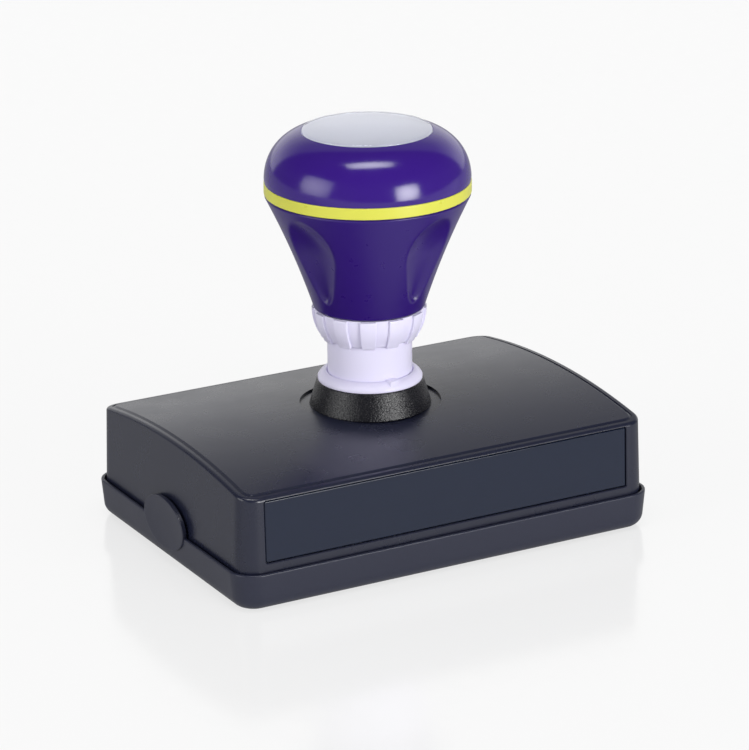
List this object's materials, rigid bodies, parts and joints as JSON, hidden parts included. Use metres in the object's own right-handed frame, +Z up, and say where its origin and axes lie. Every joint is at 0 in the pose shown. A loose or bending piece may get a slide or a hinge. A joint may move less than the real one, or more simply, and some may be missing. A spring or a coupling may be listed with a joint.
{
  "type": "pre-inked stamp",
  "caption": "Large rectangular pre-inked desk stamp: fluted knob on a sprung stem over a vaulted black housing, with a ribbed depth ring and a pull-off dust cover.",
  "frame": {"origin": "centre of the dust cover's underside, on the desk", "axes": "+X along the long side of the case, +Y to the back, away from the label window, +Z up along the stem"},
  "size_m": [0.1014, 0.0724, 0.0896],
  "materials": {
    "housing_black": "satin moulded ABS",
    "cover_black": "satin moulded ABS",
    "collar_black": "spark-textured moulded ABS",
    "window_dark": "glossy smoked sheet",
    "sleeve_white": "smooth moulded acetal",
    "knob_purple": "glossy moulded ABS",
    "band_yellow": "smooth moulded ABS",
    "lens_clear": "polished clear acrylic",
    "disc_paper": "blank matt card",
    "stem_black": "smooth moulded acetal",
    "holder_grey": "satin moulded ABS",
    "steel": "zinc-plated",
    "foam_inked": "ink-soaked foam",
    "die_rubber": "microporous foam rubber"
  },
  "bodies": {
    "base": {"housing": "housing_black", "label_window": "window_dark", "collar": "collar_black", "guide_sleeve": "sleeve_white", "sleeve_washer": "steel", "sleeve_nut": "holder_grey", "return_spring": "steel"},
    "handle": {"grip_body": "knob_purple", "knob_cap": "knob_purple", "accent_band": "band_yellow", "knob_lens": "lens_clear", "lens_disc": "disc_paper", "stem": "stem_black", "stem_screw": "steel", "stem_washer": "steel", "spring_washer": "steel", "die_holder": "holder_grey", "holder_screws": "steel", "ink_foam": "foam_inked", "flash_die": "die_rubber", "die_frame": "holder_grey"},
    "drag_washer": {"drag_washer": "sleeve_white"},
    "depth_ring": {"depth_ring": "sleeve_white"},
    "dust_cover": {"dust_cover": "cover_black"}
  },
  "joints": [
    {"name": "handle_press", "type": "slide", "parent": "base", "child": "handle", "axis": [0, 0, -1], "range_m": [0, 0.0045], "stiffness_N_per_m": 1400, "springref_m": -0.008, "deforming": ["return_spring"]},
    {"name": "ring_advance", "type": "slide", "parent": "handle", "child": "drag_washer", "axis": [0, 0, -1], "range_m": [0, 0.0015]},
    {"name": "ring_turn", "type": "hinge", "parent": "drag_washer", "child": "depth_ring", "pos_m": [0, 0, 0.04274], "axis": [0, 0, -1], "range_deg": [0, 270]},
    {"name": "cover_pull", "type": "slide", "parent": "base", "child": "dust_cover", "axis": [0, 0, -1], "range_m": [0, 0.03]}
  ],
  "couplings": [
    {"joint": "ring_advance", "follows": "ring_turn", "m_per_rad": 0.0003183}
  ]
}
